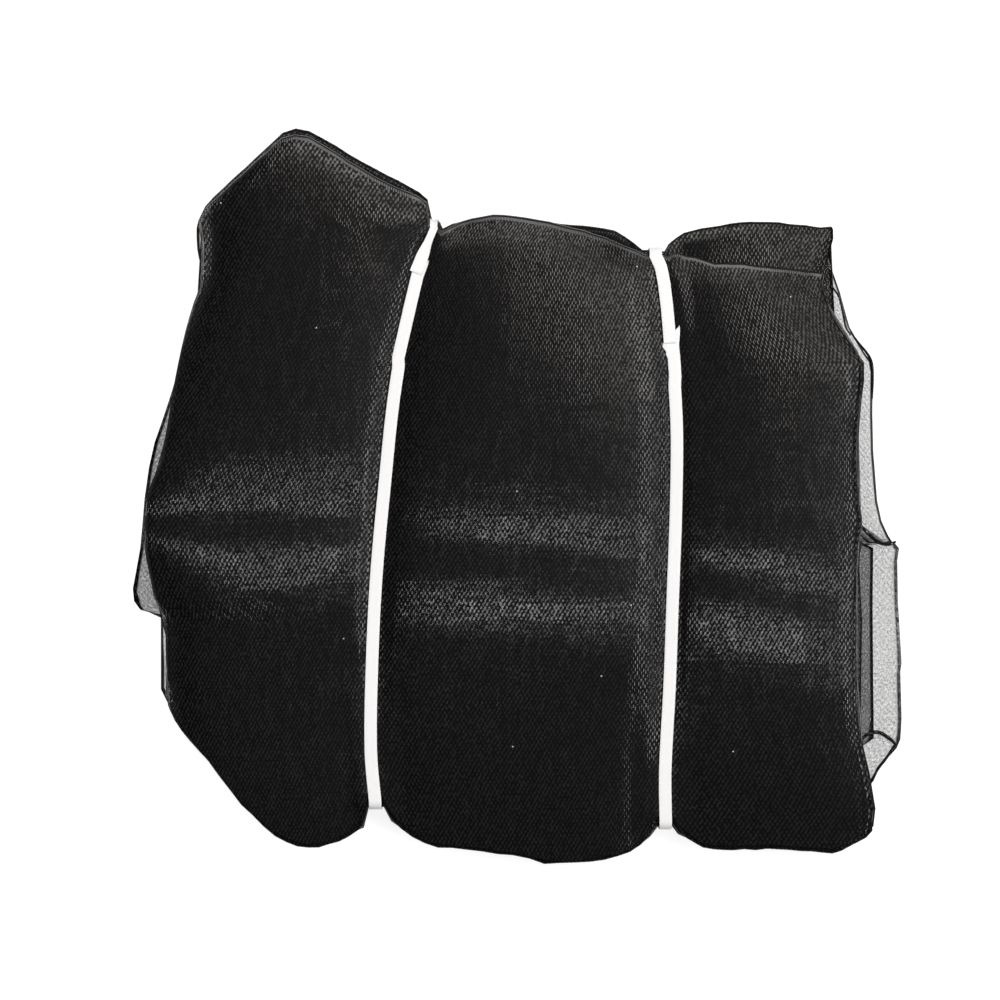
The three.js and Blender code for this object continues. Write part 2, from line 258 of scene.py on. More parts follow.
# slope of the top leaf along each lobe, less the slope that mirrors the overhead lamp: 0 is
# lit. Two shallow folds run across the lobes; drift is how far they shift in y from a lobe's
# left side to its right, and gather how much closer they lie at each place across
lobeSlopes = [
    {
        "driftAt": [-56, 4], "drift": [-6, 0], "middle": -23,
        "across": [0, 0.15, 0.4, 1], "gather": [0.4, 0.75, 1, 1.1],
        "y": [-285, -200, -130, -95, -86, -76, -66, -56, -46, -38, -32, -24, -18, -13, -6, 4, 12, 22,
              34, 48, 60, 120, 200, 292],
        "away": [0.136, 0.085, 0.075, 0.07, 0.055, 0.035, 0.014, 0, -0.014, -0.035, -0.055, -0.075,
                 -0.06, -0.035, -0.012, 0, -0.018, -0.042, -0.062, -0.076, -0.085, -0.119, -0.184,
                 -0.254],
    },
    {
        "driftAt": [-90, -26], "drift": [-26, -20], "middle": -56,
        "across": [0, 1], "gather": [1, 1],
        "y": [-292, -200, -150, -122, -114, -108, -100, -90, -80, -73, -67, -56, -47, -41, -34, -26,
              -18, -10, 0, 14, 30, 80, 150, 225],
        "away": [0.14, 0.09, 0.078, 0.07, 0.05, 0.032, 0.012, 0, -0.012, -0.03, -0.05, -0.075,
                 -0.055, -0.03, -0.01, 0, -0.012, -0.028, -0.043, -0.055, -0.068, -0.1, -0.152,
                 -0.215],
    },
    {
        "driftAt": [-112, -57], "drift": [-55, -28], "middle": -80,
        "across": [0, 1], "gather": [1, 1],
        "y": [-284, -200, -170, -150, -142, -134, -124, -112, -100, -92, -87, -80, -74, -69, -62, -57,
              -50, -44, -36, -26, 20, 80, 150, 218],
        "away": [0.136, 0.085, 0.075, 0.06, 0.045, 0.028, 0.01, 0, -0.008, -0.025, -0.045, -0.06,
                 -0.042, -0.022, -0.006, 0, -0.01, -0.028, -0.048, -0.062, -0.075, -0.104, -0.157,
                 -0.212],
    },
]

# soft creases of the top leaf: straight from one point to another, a ridge where height is
# over zero and a furrow where it is under
creases = {
    "fromX": [-250, -124, -150, -80, -60, 132, 140, 152, 130, 262, -225],
    "fromY": [187, 188, 172, 150, 118, 152, 130, 172, 3, 86, 262],
    "toX": [-122, -119, -92, 92, 104, 266, 264, 252, 270, 284, -120],
    "toY": [184, 163, 149, 139, 127, 106, 92, 148, -4, 98, 215],
    "width": [4, 3, 5, 5, 5, 6, 6, 6, 3, 2.5, 7],
    "height": [-0.4, 2.2, 0.5, 0.25, 0.2, 0.4, 0.35, 0.4, -0.2, -1.3, 0.3],
}

# each strap: x of its middle at shares of the way from its bottom (-Y) to its top (+Y), where
# its ends lie, and how it narrows the valley there
lineShares = [0, 0.1, 0.25, 0.4, 0.55, 0.7, 0.85, 0.95, 1]
tiePlan = {
    "tie_left": {
        "line": [-113, -117, -116, -112.5, -106, -98.5, -86.3, -74, -64],
        "top": 220, "bottom": -250, "under": 189, "over": 178, "slant": 0,
        "narrow": 0.5, "pinch": 0.4,
        "lower": {"y": [110, 150, 176, 188], "x": [-95.2, -86, -79.8, -75.4]},
        "upper": {"y": [178, 187, 206, 220], "x": [-81.3, -77.6, -69.8, -63.8]},
    },
    "tie_right": {
        "line": [118.5, 118, 121.5, 124, 126.5, 127, 122, 116.4, 108],
        "top": 198, "bottom": -266, "under": 141, "over": 122, "slant": 22,
        "narrow": 0.25, "pinch": 0,
        "lower": {"y": [96, 108, 120, 132, 141], "x": [125.9, 125.1, 124, 124.8, 127.6]},
        "upper": {"y": [122, 132, 151, 170, 183, 191, 198],
                  "x": [121.7, 121, 119.3, 117, 114.4, 110.6, 107]},
    },
}

netShape = {
    "leafCount": 10,
    "leafThickness": 2,
    "pliesPerLeaf": 5,
    "plyPitch": 0.45,
    "tiePitch": 2.6,  # from leaf to leaf under a strap
    "crownPitch": [4.3, 4.6, 4.2],  # and at the crown of each lobe
    "tieRise": 85,  # distance from a strap to a lobe's crown
    "risePower": 0.62,
    "edgeRise": 55,  # the same from a side edge
    "edgeShare": 0.55,  # share of the swelling left at a side edge
    "endSag": 0.08,  # share of it lost at the ends
    "topRise": 1.6,
    "valleyHalfWidth": 5.9,  # flat floor of the valley under a strap
    "lapY": [105, 225],  # the valleys are wider between these, where the straps lap
    "lapFade": [20, 15],
    "lapWiden": 1.3,
    "narrowReach": 26,  # a valley closes in over this much of its +Y end
    "narrowFade": 22,
    "strapLift": 1.4,
    "liftFade": 14,
    "cornerDraw": 8,  # how far a strap draws in the stack's corners
    "drawShare": 0.15,  # share of a lobe over which that fades
    "topRows": 32,
    "foldRows": 41,  # further rows of the top leaf, between these shares of its length
    "foldSpan": [0.23, 0.63],
    "bottomRows": 18,
    "innerRows": 8,
    "endRows": [0.002, 0.004, 0.006, 0.009, 0.0125, 0.017, 0.024, 0.034, 0.045],  # from a bent end
    "leastStep": 0.0012,
    "foldSteps": 5,
    "lobeColumns": 22,
    "flatAt": -60,  # y at which the cloth's flat width is taken
    "pleatInset": [0.2, 3.5],  # least and most that a pleat stands in from the dense edge
    "selvedgeInset": 0.3,
    "pleatWaver": 0.8,
    "waverPace": [9, 2.1],  # radians along a leaf, and from leaf to leaf
    "flapFade": 3,  # a flap that reaches this far has no pleat inset left
    "raggedEnds": [1.5, 0.8],  # at the -Y and the +Y ends
    "raggedPace": [25, 110],  # radians for each lobe
    "raggedWaves": 6,
    "endDroop": [0, 0, 0, 0, 0, 0, 4.5, 4.5, 2.2, 2.6],  # each leaf's +Y end bends down so far
    "droopReach": [9, 9, 9, 9, 9, 9, 9, 9, 24, 24],
    "lobeDroop": [1, 1, 0.3],  # share of it in each lobe, except on the top two leaves
    "reliefClear": [14, 8, 18],  # fade from a strap; start outside and fade from an edge
    "droopClear": 10,
    "flapZ": 1.2,  # loose plies sink towards this
    "flapFall": 0.75,  # for each millimetre past the dense edge
    "sheerReach": 1.5,  # a lone ply turns see-through this far past the dense edge
    "thinEdge": [1, 3],  # inside that edge: still see-through to here, then fading over this
    "rimShare": 0.9955,  # from here on the top two leaves' +Y ends have a glossy rim
    "farFromEdge": 99,  # more than any selvedge is wide
    "seed": 7,
}


def tieX(tie, y):
    share = unit((y - tie["bottom"]) / (tie["top"] - tie["bottom"]))
    return smoothLine(lineShares, tie["line"], share)


def sideX(side, y):
    line = sideLines[side]
    return smoothLine(line["y"], line["x"], np.clip(y, line["y"][0], line["y"][-1]))


def fourLines(yLeft, yTieLeft, yTieRight, yRight):
    # x of the two side edges and the two straps, each at its own y
    tieLeft, tieRight = tiePlan.values()
    ties = tieX(tieLeft, yTieLeft), tieX(tieRight, yTieRight)
    return sideX("left", yLeft), *ties, sideX("right", yRight)


def netColumns():
    # one ply's columns: weights of the four lines, an offset in x, both ends' y, and the
    # place across the lobes (0 to 3). Within a lobe its two lines share the weight, 1 - t
    # to t, and each strap has one column of its own between two lobes
    across = clustered(netShape["lobeColumns"])
    blocks = [across, [1.0], across, [1.0], across]
    sizes = [len(block) for block in blocks]
    lobe = np.repeat([0, 0, 1, 1, 2], sizes)
    valley = np.repeat([0, 1, 0, 1, 0], sizes)
    t = np.concatenate(blocks)
    place = lobe + t
    weights = np.eye(4)[lobe] * (1 - t)[:, None] + np.eye(4)[lobe + 1] * t[:, None]
    inset = netShape["valleyHalfWidth"] * (1 - valley)
    offsets = inset * ((1 - t) * (lobe > 0) - t * (lobe < 2))
    ties = list(tiePlan.values())
    closing = np.where(weights[:, 1] > weights[:, 2], ties[0]["narrow"], ties[1]["narrow"])
    ends = {}
    for end in ("top", "bottom"):
        edge = [outlines[name + end.capitalize()] for name in ("left", "middle", "right")]
        corner = [edge[0]["y"][0], ties[0][end], ties[1][end], edge[2]["y"][-1]]
        x = weights @ np.array(fourLines(*corner))
        x = x + offsets * (1 - closing * (end == "top"))
        y = np.zeros(len(x))
        for index, outline in enumerate(edge):
            mine = lobe == index
            y[mine] = smoothLine(outline["x"], outline["y"], x[mine])
        for index in range(2):
            y[place == index + 1.0] = ties[index][end]
        ends[end] = y
    flatX = weights @ np.array(fourLines(*[netShape["flatAt"]] * 4)) + offsets
    return dict(ends, weights=weights, offsets=offsets, place=place, lobe=lobe, flatX=flatX - flatX[0])


def setbackTable(place):
    # every end's setback at each column: the table's, with a sum of sines for its raggedness,
    # fading near a strap to the strap's pull, which grows with the square of the distance from
    # the middle of the stack
    count = netShape["leafCount"]
    table = np.array([np.interp(place, endSetbacks["lobeShare"], row) for row in endSetbacks["rows"]])
    fromMiddle = np.abs(2 * np.arange(count + 1) / count - 1)
    clear = ease(np.minimum(np.abs(place - 1), np.abs(place - 2)) / netShape["drawShare"])
    drawn = netShape["cornerDraw"] * fromMiddle[:, None] ** 2
    rng = np.random.default_rng(netShape["seed"])
    ragged = np.zeros_like(table)
    for wave in range(netShape["raggedWaves"]):
        pace = rng.uniform(*netShape["raggedPace"], (count + 1, 1))
        phase = rng.uniform(0, 2 * np.pi, (count + 1, 1))
        ragged += np.sin(place * pace + phase) / netShape["raggedWaves"]
    # rows take turns: the -Y ends first, then the +Y ends
    ragged *= np.resize(netShape["raggedEnds"], count + 1)[:, None]
    return table * clear + drawn * (1 - clear) + ragged * clear


def flapReach(leaf, side, ply, y, dense):
    # how far a ply's side stands past the dense edge: the flap's outer x less that edge's x
    reach = np.zeros(np.broadcast(leaf, ply, y).shape)
    sign = 1 if side == "right" else -1
    for flap in flaps:
        if flap["side"] == side:
            outer = np.interp(y, flap["y"], flap["x"])
            within = (y >= flap["y"][0]) & (y <= flap["y"][-1]) & (leaf == flap["leaf"])
            own = np.isin(ply, flap["plies"]) & within
            reach = np.where(own, np.maximum(sign * (outer - dense), 0), reach)
    return reach


def leafShares(leaf, columnEnds):
    # the rows of one leaf, with one at every corner of its flaps
    last = netShape["leafCount"] - 1
    count = {last: netShape["topRows"], 0: netShape["bottomRows"]}.get(leaf, netShape["innerRows"])
    shares = [np.linspace(0, 1, count)]
    if leaf == last:
        shares.append(np.linspace(*netShape["foldSpan"], netShape["foldRows"]))
    if netShape["endDroop"][leaf]:
        shares.append(1 - np.array(netShape["endRows"]))
    for flap in flaps:
        if flap["leaf"] == leaf:
            bottom, top = columnEnds[flap["side"]]
            shares.append((np.array(flap["y"], float) - bottom) / (top - bottom))
    shares = np.unique(unit(np.concatenate(shares)))
    shares = shares[np.append(True, np.diff(shares) > netShape["leastStep"])]
    shares[-1] = 1.0
    return shares


def netRows(column, setbacks):
    # the whole path, bottom leaf first: leaf, share of its length, and turn (0 on a leaf,
    # 0 to 1 round the fold that follows it)
    rows = []
    for index in range(netShape["leafCount"]):
        start, end = endInset(setbacks, index)
        columnEnds = {side: (column["bottom"][at] + start[0, at], column["top"][at] - end[0, at])
                      for side, at in (("left", 0), ("right", -1))}
        own = leafShares(index, columnEnds)
        own = own if index % 2 == 0 else own[::-1]
        rows.append(np.column_stack(np.broadcast_arrays(index, own, 0.0)))
        if index < netShape["leafCount"] - 1:
            steps = np.arange(1, netShape["foldSteps"]) / netShape["foldSteps"]
            rows.append(np.column_stack(np.broadcast_arrays(index, 1.0 - index % 2, steps)))
    leaf, share, turn = np.vstack(rows).T[..., None]
    return leaf.astype(int), share, turn


def pleatShifts():
    # how far each ply's two sides stand in from the dense edge: neighbours share a pleat
    rng = np.random.default_rng(netShape["seed"] + 1)
    ply = np.arange(netShape["pliesPerLeaf"])
    inward = rng.uniform(*netShape["pleatInset"], (netShape["leafCount"], len(ply) + 1))
    left = inward[:, (ply + 1) // 2 * 2]
    right = inward[:, ply // 2 * 2 + 1]
    left[:, 0] = right[:, -1] = netShape["selvedgeInset"]
    return left, right


def endInset(setbacks, leaf):
    # how far a leaf's -Y and +Y ends stop short of the outline, with half its own thickness
    leaf = np.atleast_2d(leaf)
    cols = np.arange(setbacks.shape[1])[None, :]
    outer = (netShape["tiePitch"] + netShape["leafThickness"]) / 2
    return outer + setbacks[leaf + leaf % 2, cols], outer + setbacks[leaf + 1 - leaf % 2, cols]


def lobeRelief(y, column):
    # height along a lobe: the running sum of its slopes over y, less its highest value. Before
    # the table is read, y is shifted by the drift and drawn in about the middle by the gather
    height = np.zeros_like(y)
    for index, table in enumerate(lobeSlopes):
        mine = column["lobe"] == index
        across = column["place"][mine] - index
        at = y[:, mine]
        at = at - np.interp(at, table["driftAt"], table["drift"]) * (across - 0.5)
        gather = np.interp(across, table["across"], table["gather"])
        at = table["middle"] + (at - table["middle"]) / gather
        fine = np.linspace(table["y"][0] - reliefMargin, table["y"][-1] + reliefMargin, reliefSteps)
        slope = np.interp(fine, table["y"], table["away"]) + mirrorSlope[1] * fine + mirrorSlope[0]
        summed = np.concatenate([[0], np.cumsum((slope[1:] + slope[:-1]) / 2 * np.diff(fine))])
        height[:, mine] = np.interp(at, fine, summed - summed.max())
    return height


def creaseRelief(x, y):
    # each crease is a bell across its line, exp(-(distance / width)^2), fading out at both ends
    fadeShare = 0.2
    height = np.zeros_like(y)
    for x0, y0, x1, y1, width, rise in zip(*creases.values()):
        length = math.hypot(x1 - x0, y1 - y0)
        dx, dy = (x1 - x0) / length, (y1 - y0) / length
        along = ((x - x0) * dx + (y - y0) * dy) / length
        across = (y - y0) * dx - (x - x0) * dy
        fade = ease(along / fadeShare) * ease((1 - along) / fadeShare)
        height += rise * fade * np.exp(-((across / width) ** 2))
    return height


def valleyNarrowing(y, weights):
    # the valley closes in where its strap turns down over the +Y end
    tieLeft, tieRight = tiePlan.values()
    close = [tie["narrow"] * ease((y - tie["top"] + netShape["narrowReach"]) / netShape["narrowFade"])
             for tie in (tieLeft, tieRight)]
    return np.where(weights[:, 1] > weights[:, 2], *close)


def leafSurface(leaf, share, column, ply, setbacks, shifts):
    # middle surface of a leaf, shifted at the sides as its ply is; all in millimetres.
    # x is the weighted sum of the side edges and strap lines, y runs straight from end to end,
    # and z is the leaf's number times a pitch that swells from the straps' to the crown's as
    # 1 - (1 - t)^2, with t the distance from a strap or a side edge. Higher leaves also take
    # the lobes' relief, the top one the creases, and the +Y ends droop as a square
    insetStart, insetEnd = endInset(setbacks, leaf[:, 0][:, None])
    bottom = column["bottom"] + insetStart
    top = column["top"] - insetEnd
    y = bottom + share * (top - bottom)

    lines = fourLines(y, y, y, y)
    left, tieA, tieB, right = lines
    weights = column["weights"]
    x = sum(line * weights[:, index] for index, line in enumerate(lines))
    x = x + column["offsets"] * (1 - valleyNarrowing(y, weights))
    leftShift, rightShift = shifts
    lastPly = netShape["pliesPerLeaf"] - 1
    flapFade = netShape["flapFade"]
    alongPace, leafPace = netShape["waverPace"]
    waver = netShape["pleatWaver"] * np.sin(alongPace * share + leafPace * leaf + ply)
    reachLeft = flapReach(leaf, "left", ply, y, left)
    reachRight = flapReach(leaf, "right", ply, y, right)
    inLeft = (leftShift[leaf, ply] + waver * (ply > 0)) * (1 - unit(reachLeft / flapFade))
    inRight = (rightShift[leaf, ply] + waver * (ply < lastPly)) * (1 - unit(reachRight / flapFade))
    edgeLeft = reachLeft - inLeft
    edgeRight = reachRight - inRight
    x = x - edgeLeft * weights[:, 0] ** 2 + edgeRight * weights[:, 3] ** 2

    lapFrom, lapTo = netShape["lapY"]
    lap = ease((y - lapFrom) / netShape["lapFade"][0]) * ease((lapTo - y) / netShape["lapFade"][1])
    fromTie = np.minimum(np.abs(x - tieA), np.abs(x - tieB)) - netShape["valleyHalfWidth"]
    fromTie = np.maximum(fromTie - netShape["lapWiden"] * lap, 0)
    inside = np.maximum(np.minimum(x - left, right - x), 0)
    rise = swell(fromTie / netShape["tieRise"], netShape["risePower"])
    side = netShape["edgeShare"] + (1 - netShape["edgeShare"]) * swell(inside / netShape["edgeRise"])
    sag = 1 - netShape["endSag"] * np.abs(2 * share - 1) ** 3
    crown = np.asarray(netShape["crownPitch"])[column["lobe"]]
    pitch = netShape["tiePitch"] + (crown - netShape["tiePitch"]) * rise * side * sag
    lift = netShape["strapLift"] * (1 - unit(fromTie / netShape["liftFade"]))
    z = lift + netShape["leafThickness"] / 2 + leaf * pitch
    height = (leaf / (netShape["leafCount"] - 1)) ** 2
    tieFade, edgeStart, edgeFade = netShape["reliefClear"]
    clear = ease(fromTie / tieFade) * ease((inside + edgeStart) / edgeFade)
    reach = np.asarray(netShape["droopReach"])[leaf]
    droop = np.asarray(netShape["endDroop"])[leaf] * (1 - unit((top - y) / reach)) ** 2
    z = z + (netShape["topRise"] + lobeRelief(y, column)) * clear * height
    topTwo = leaf >= netShape["leafCount"] - 2
    droop = np.where(topTwo, droop, droop * np.asarray(netShape["lobeDroop"])[column["lobe"]])
    z = z - droop * ease(fromTie / netShape["droopClear"])
    z = z + creaseRelief(x, y) * clear * height ** 4

    beyond = np.maximum(np.maximum(left - x, x - right), 0)
    z = z - np.minimum(np.maximum(z - netShape["flapZ"], 0), netShape["flapFall"] * beyond)
    selvedge = np.where(ply == 0, x - (left - edgeLeft), netShape["farFromEdge"])
    selvedge = np.where(ply == lastPly, (right + edgeRight) - x, selvedge)
    return x, y, z, beyond, inside, selvedge


def netSurface():
    # plies are offsets of the leaf's middle surface along its section's normal, and a fold is
    # half a turn about the middle of the gap between two leaves' ends: y moves out by the
    # radius times sin, and z up by the radius times 1 - cos
    column = netColumns()
    perPly = len(column["place"])
    count = netShape["pliesPerLeaf"]
    order = [np.arange(perPly) if p % 2 == 0 else np.arange(perPly)[::-1] for p in range(count)]
    pick = np.concatenate(order)
    ply = np.repeat(np.arange(count), perPly)
    plan = {key: value[pick] for key, value in column.items()}
    setbacks = setbackTable(plan["place"])
    leaf, share, turn = netRows(column, setbackTable(column["place"]))
    shifts = pleatShifts()
    x, y, z, beyond, inside, selvedge = leafSurface(leaf, share, plan, ply, setbacks, shifts)

    # round each fold, between the ends of two leaves
    upper = np.minimum(leaf + 1, netShape["leafCount"] - 1)
    xUp, _, zUp = leafSurface(upper, share, plan, ply, setbacks, shifts)[:3]
    radius = (zUp - z) / 2
    outward = np.where(leaf % 2 == 0, 1.0, -1.0)
    angle = turn * np.pi
    folded = turn > 0
    x = np.where(folded, x + (xUp - x) * turn, x)
    y = np.where(folded, y + outward * radius * np.sin(angle), y)
    z = np.where(folded, z + radius * (1 - np.cos(angle)), z)
    acrossY = np.where(folded, -np.sin(angle), 0.0)
    acrossZ = outward * np.cos(angle)

    offset = (ply - (count - 1) / 2) * netShape["plyPitch"]
    y = y + acrossY * offset
    z = z + acrossZ * offset
    flatWidth = column["flatX"].max()
    onward = ply * flatWidth + plan["flatX"]
    backward = (ply + 1) * flatWidth - plan["flatX"]
    flatU = np.where(ply % 2 == 0, onward, backward)
    # closed is 1 on the glossy rims, and 0.5 on the other folds and down both sides
    rim = (leaf >= netShape["leafCount"] - 2) & (folded | (share > netShape["rimShare"]))
    creased = folded | (plan["place"] % len(lobeSlopes) == 0)
    print("net grid", x.shape, "flat width", round(flatWidth * count), "mm")
    closed = np.where(rim, 1.0, np.where(creased, 0.5, 0.0))
    return dict(points=np.stack([x, y, z], -1), flatU=flatU, leaf=leaf, turn=turn, beyond=beyond,
                inside=inside, selvedge=selvedge, closed=closed)


def quadCorners(first, second):
    # values at the four corners of every quad between neighbouring rows
    return np.stack([first[:, :-1], first[:, 1:], second[:, 1:], second[:, :-1]], -1)


def gridQuads(rows, cols):
    index = np.arange(rows * cols).reshape(rows, cols)
    return quadCorners(index[:-1], index[1:]).reshape(-1, 4)


def unitRows(vectors):
    return vectors / np.linalg.norm(vectors, axis=1, keepdims=True)


def pathLength(path):
    # distance along a path at each of its points
    return np.append(0, np.cumsum(np.linalg.norm(np.diff(path, axis=0), axis=1)))


def flatV(surface):
    # flat distance along the cloth at both rows of every strip of faces: y on a leaf, and
    # on from there round a fold
    points, turn = surface["points"], surface["turn"]
    base = np.where(surface["leaf"] % 2 == 0, 1.0, -1.0) * points[..., 1]
    step = np.linalg.norm(np.diff(points, axis=0), axis=-1)
    start, end = base[:-1].copy(), base[1:].copy()
    folding = (turn[1:, 0] > 0) | (turn[:-1, 0] > 0)
    for row in np.flatnonzero(folding):
        if turn[row, 0] > 0:
            start[row] = end[row - 1]
        end[row] = start[row] + step[row]
    return start, end


curlShape = {
    "rows": 28,
    "around": 11,
    "endShare": 0.35,  # share of the radius that doesn't thin
    "endClip": 0.02,  # the thinning stops this share short of both ends
    "swellPower": 0.4,
}


def curlGrid(curl):
    # a tube round a smooth path, open at its thin ends: each point is the path's plus the
    # radius times cos sideways and sin upwards, and the radius swells as a power of sin(pi t)
    share = np.linspace(0, 1, len(curl["x"]))
    at = np.linspace(0, 1, curlShape["rows"])
    path = np.column_stack([smoothLine(share, curl[key], at) for key in "xyz"])
    along = unitRows(np.gradient(path, axis=0))
    sideways = unitRows(np.cross(along, [0.0, 0.0, 1.0]))
    upward = np.cross(sideways, along)
    angle = np.linspace(0, 2 * np.pi, curlShape["around"])
    endShare, clip = curlShape["endShare"], curlShape["endClip"]
    bulge = np.sin(np.pi * np.clip(at, clip, 1 - clip)) ** curlShape["swellPower"]
    radius = curl["radius"] * (endShare + (1 - endShare) * bulge)
    turn = angle[None, :, None]
    ring = sideways[:, None] * np.cos(turn) + upward[:, None] * np.sin(turn)
    points = path[:, None] + ring * radius[:, None, None]
    uv = np.stack(np.broadcast_arrays(angle * curl["radius"], pathLength(path)[:, None]), -1)
    return points, uv


def buildNet(material, shift):
    surface = netSurface()
    points = surface["points"]
    grid = points.shape[:2]
    flatU = np.broadcast_to(surface["flatU"], grid)
    corners = np.stack([quadCorners(flatU[:-1], flatU[1:]), quadCorners(*flatV(surface))], -1)
    thinFrom, thinFade = netShape["thinEdge"]
    thin = 1 - ease((surface["inside"] - thinFrom) / thinFade)
    alone = ease(surface["beyond"] / netShape["sheerReach"])
    values = {
        "sheer": [np.maximum(alone, thin)],
        "selvedge": [surface["selvedge"] * mm],
        "closed": [np.broadcast_to(surface["closed"], grid)],
    }
    curlValues = {"sheer": 0.0, "selvedge": netShape["farFromEdge"] * mm, "closed": 0.5}
    flat, faces, uvs = [points.reshape(-1, 3)], [gridQuads(*grid)], [corners.reshape(-1, 2)]
    for curl in curls:
        tube, uv = curlGrid(curl)
        quads = gridQuads(*tube.shape[:2])
        faces.append(quads + sum(map(len, flat)))
        uvs.append(uv.reshape(-1, 2)[quads].reshape(-1, 2))
        flat.append(tube.reshape(-1, 3))
        for label, value in curlValues.items():
            values[label].append(np.full(len(flat[-1]), value))
    piece = makePiece(
        "foldedNet",
        (np.vstack(flat) + shift) * mm,
        np.vstack(faces),
        material,
        np.vstack(uvs) * mm,
        {label: np.concatenate([part.ravel() for part in parts]) for label, parts in values.items()},
    )
    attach(piece, "root")
    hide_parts("net")
    return piece


strapShape = {
    "width": 10,
    "thickness": 0.7,
    "room": 0.8,  # thickness that its path leaves for it
    "clearance": 0.3,
    "lapGap": 0.1,
    "cornerRadius": 7,
    "stackTop": 26.8,
    "step": 3,
    "bendPoints": 9,
    "sidePoints": 6,
    "lapBlend": 12,
    "pinchStart": [30, 16],  # how far before the +Y end, and its fade
    "pinchFoot": [6, 10],  # how far above the floor it ends, and its fade
    "pinchHollow": 3,
    "cutReach": 1.6,  # an aslant cut fades out over so many times its length
    # the section, once round, as shares of half the width and of half the thickness
    "across": [-1, -0.93, -0.5, 0, 0.5, 0.93, 1, 1, 0.93, 0.5, 0, -0.5, -0.93, -1],
    "up": [0.45, 1, 1, 1, 1, 1, 0.45, -0.45, -1, -1, -1, -1, -1, -0.45],
}


def strapPath(tie):
    # along the top to the -Y end, beneath, and over the +Y end to the upper, lapped end:
    # straight runs joined by quarter circles in y and z, with x from the strap's own line
    room, radius = strapShape["room"], strapShape["cornerRadius"]
    low = strapShape["clearance"] + room / 2
    high = strapShape["stackTop"] + low
    lapHigh = high + room + strapShape["lapGap"]
    near, end = tie["bottom"] - low, tie["top"] + low
    parts = []  # rows of y, z and the outward direction's y and z

    def run(y0, y1, z, outZ):
        count = max(2, int(abs(y1 - y0) / strapShape["step"]))
        y = np.linspace(y0, y1, count)
        parts.append(np.column_stack(np.broadcast_arrays(y, z, 0.0, outZ)))

    def bend(y, z, startAngle):
        angle = startAngle + np.linspace(0, np.pi / 2, strapShape["bendPoints"])[1:-1]
        out = np.column_stack([np.cos(angle), np.sin(angle)])
        parts.append(np.column_stack([y + radius * out[:, 0], z + radius * out[:, 1], out]))

    def side(y, z0, z1, outY):
        z = np.linspace(z0, z1, strapShape["sidePoints"])
        parts.append(np.column_stack(np.broadcast_arrays(y, z, outY, 0.0)))

    run(tie["under"], near + radius, high, 1)
    bend(near + radius, high - radius, np.pi / 2)
    side(near, high - radius, low + radius, -1)
    bend(near + radius, low + radius, np.pi)
    run(near + radius, end - radius, low, -1)
    bend(end - radius, low + radius, -np.pi / 2)
    side(end, low + radius, lapHigh - radius, 1)
    bend(end - radius, lapHigh - radius, 0)
    run(end - radius, tie["over"], lapHigh, 1)
    path = np.vstack(parts)
    y = path[:, 0]
    x = tieX(tie, np.clip(y, near + radius, end - radius))
    # both ends run straight on where they lap, so the two lie at a slight angle
    first, last = slice(0, len(parts[0])), slice(-len(parts[-1]), None)
    for rows, lap, sign, start in ((first, tie["lower"], 1, 0), (last, tie["upper"], -1, -1)):
        lapX = np.interp(y[rows], lap["y"], lap["x"])
        weight = ease(1 + sign * (y[rows] - lap["y"][start]) / strapShape["lapBlend"])
        x[rows] += weight * (lapX - x[rows])
    return np.column_stack([x, path[:, :2]]), np.column_stack([np.zeros(len(y)), path[:, 2:]])


def pinchShare(centre, tie):
    # 1 from just before the +Y end to half way down it, 0 elsewhere
    before, beforeFade = strapShape["pinchStart"]
    foot, footFade = strapShape["pinchFoot"]
    start = ease((centre[:, 1] - tie["top"] + before) / beforeFade)
    return start * ease((centre[:, 2] - foot) / footFade)


def buildStrap(name, material, shift):
    # a flat section with rounded edges carried along the path and closed at both ends: each
    # point is the path's plus its share of half the width sideways and of half the thickness
    # outwards. Squeezed at a turn it is narrower, and hollow as the square of that share
    tie = tiePlan[name]
    centre, out = strapPath(tie)
    along = unitRows(np.gradient(centre, axis=0))
    across = unitRows(np.cross(along, out))
    half = strapShape["width"] / 2
    sideways = np.array(strapShape["across"]) * half
    upward = np.array(strapShape["up"]) * strapShape["thickness"] / 2
    pinch = tie["pinch"] * pinchShare(centre, tie)[:, None]
    # the lower end may be cut aslant: the further from its right corner, the shorter
    length = pathLength(centre)
    slant = tie["slant"] or 0.01  # never quite 0, as it divides
    cut = np.maximum(0, 1 - length / (strapShape["cutReach"] * slant))[:, None] * slant
    pulled = cut * (0.5 - sideways * np.sign(across[0, 0]) / strapShape["width"])
    hollow = strapShape["pinchHollow"] * pinch * (sideways / half) ** 2
    points = (
        centre[:, None, :]
        + along[:, None, :] * pulled[..., None]
        + across[:, None, :] * (sideways * (1 - pinch))[..., None]
        + out[:, None, :] * (upward + hollow)[..., None]
    )
    rows, cols = points.shape[:2]
    around = np.append(np.arange(cols), 0)
    index = np.arange(rows * cols).reshape(rows, cols)[:, around]
    quads = quadCorners(index[:-1], index[1:]).reshape(-1, 4)
    section = np.append(np.linspace(0, 1, cols // 2), np.linspace(1, 0, cols // 2)) * strapShape["width"]
    grids = np.broadcast_arrays(section[around], length[:, None])
    uv = np.stack([quadCorners(grid[:-1], grid[1:]) for grid in grids], -1).reshape(-1, 2)
    # end caps: quads across the section's two halves
    pairs = np.arange(cols // 2 - 1)
    cap = np.stack([pairs, pairs + 1, cols - 2 - pairs, cols - 1 - pairs], -1)
    caps = np.vstack([cap, (rows - 1) * cols + cap[:, ::-1]])
    piece = makePiece(
        name + "_strap",
        (points.reshape(-1, 3) + shift) * mm,
        np.vstack([quads, caps]),
        material,
        np.vstack([uv, np.zeros((caps.size, 2))]) * mm,
    )
    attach(piece, "root")
    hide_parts(name)
    return piece, float(length[-1])


